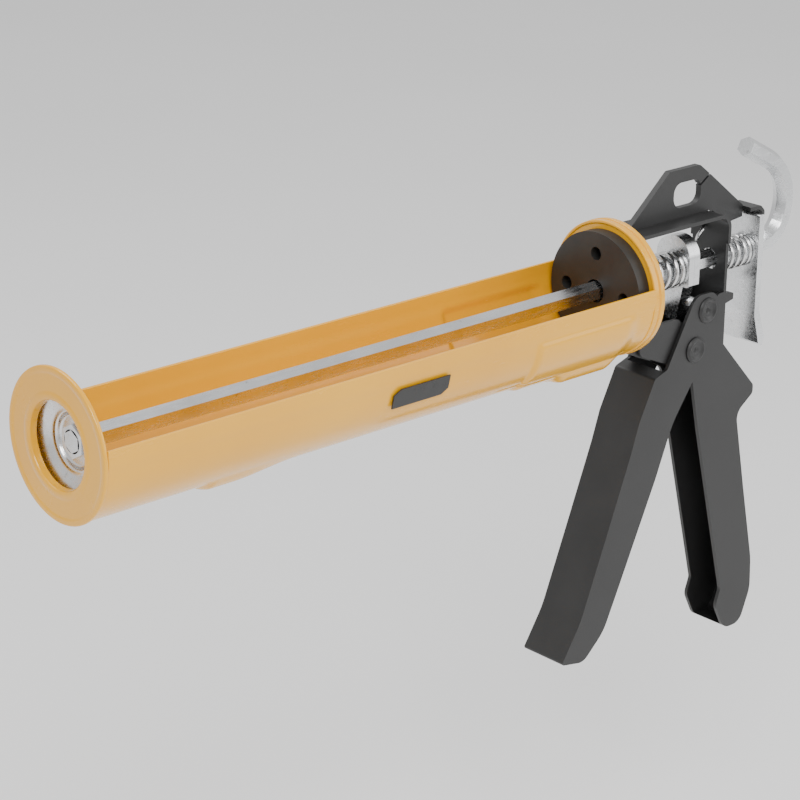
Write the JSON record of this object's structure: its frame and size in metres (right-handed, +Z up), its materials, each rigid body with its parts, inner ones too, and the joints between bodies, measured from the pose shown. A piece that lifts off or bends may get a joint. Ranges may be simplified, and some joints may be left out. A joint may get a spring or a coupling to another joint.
{
  "type": "caulking gun",
  "caption": "Manual sealant gun: a swivelling open cradle holds a cartridge, a squeeze lever drives a hexagonal push rod, a thumb plate frees it.",
  "frame": {"origin": "centre of the nozzle opening at the front plate's outer face", "axes": "+X along the push rod from the nozzle end to the handle, +Z up, the handle hangs down"},
  "size_m": [0.3608, 0.0536, 0.2081],
  "materials": {
    "yellow_paint": "glossy enamel",
    "black_paint": "semi-gloss powder coat",
    "black_plastic": "matte",
    "zinc_steel": "bright zinc plate",
    "spring_steel": "bright wire",
    "label": "satin"
  },
  "bodies": {
    "frame": {"pivot_hub": "zinc_steel", "thrust_sleeve": "zinc_steel", "nose_flange": "black_paint", "top_arm": "black_paint", "rear_wall": "black_paint", "hang_plate_left": "black_paint", "hang_plate_right": "black_paint", "release_hook": "black_paint", "grip_channel": "black_paint", "arm_bridge": "black_paint", "pivot_rivet": "black_paint", "drive_spring": "spring_steel", "release_spring": "spring_steel"},
    "barrel": {"front_plate": "yellow_paint", "cradle": "yellow_paint", "rear_plate": "yellow_paint", "locating_boss": "black_plastic", "label_plate": "label"},
    "rod": {"push_rod": "zinc_steel", "pusher_disc": "zinc_steel", "rod_nut": "zinc_steel", "backing_washer": "zinc_steel"},
    "lever": {"trigger_lever": "black_paint", "thrust_rivet": "black_paint", "thrust_roller": "zinc_steel"},
    "drive": {"drive_plate_front": "zinc_steel", "drive_plate_rear": "zinc_steel"},
    "release": {"release_plate": "zinc_steel"}
  },
  "joints": [
    {"name": "barrel_spin", "type": "hinge", "parent": "frame", "child": "barrel", "pos_m": [0.2536, 0, 0], "axis": [1, 0, 0], "continuous": true},
    {"name": "rod_slide", "type": "slide", "parent": "frame", "child": "rod", "axis": [1, 0, 0], "range_m": [0, 0.23]},
    {"name": "lever_squeeze", "type": "hinge", "parent": "frame", "child": "lever", "pos_m": [0.2948, 0, -0.0316], "axis": [0, -1, 0], "range_deg": [0, 26], "stiffness_Nm_per_rad": 0.8, "springref_deg": -20.05},
    {"name": "drive_slide", "type": "slide", "parent": "frame", "child": "drive", "axis": [1, 0, 0], "range_m": [-0.0073, 0], "deforming": ["drive_spring"]},
    {"name": "release_press", "type": "hinge", "parent": "frame", "child": "release", "pos_m": [0.3335, 0, 0.0145], "axis": [0, 1, 0], "range_deg": [0, 7], "stiffness_Nm_per_rad": 0.3, "springref_deg": -17.19, "deforming": ["release_spring"]}
  ],
  "couplings": [
    {"joint": "drive_slide", "follows": "lever_squeeze", "m_per_rad": -0.01592}
  ]
}
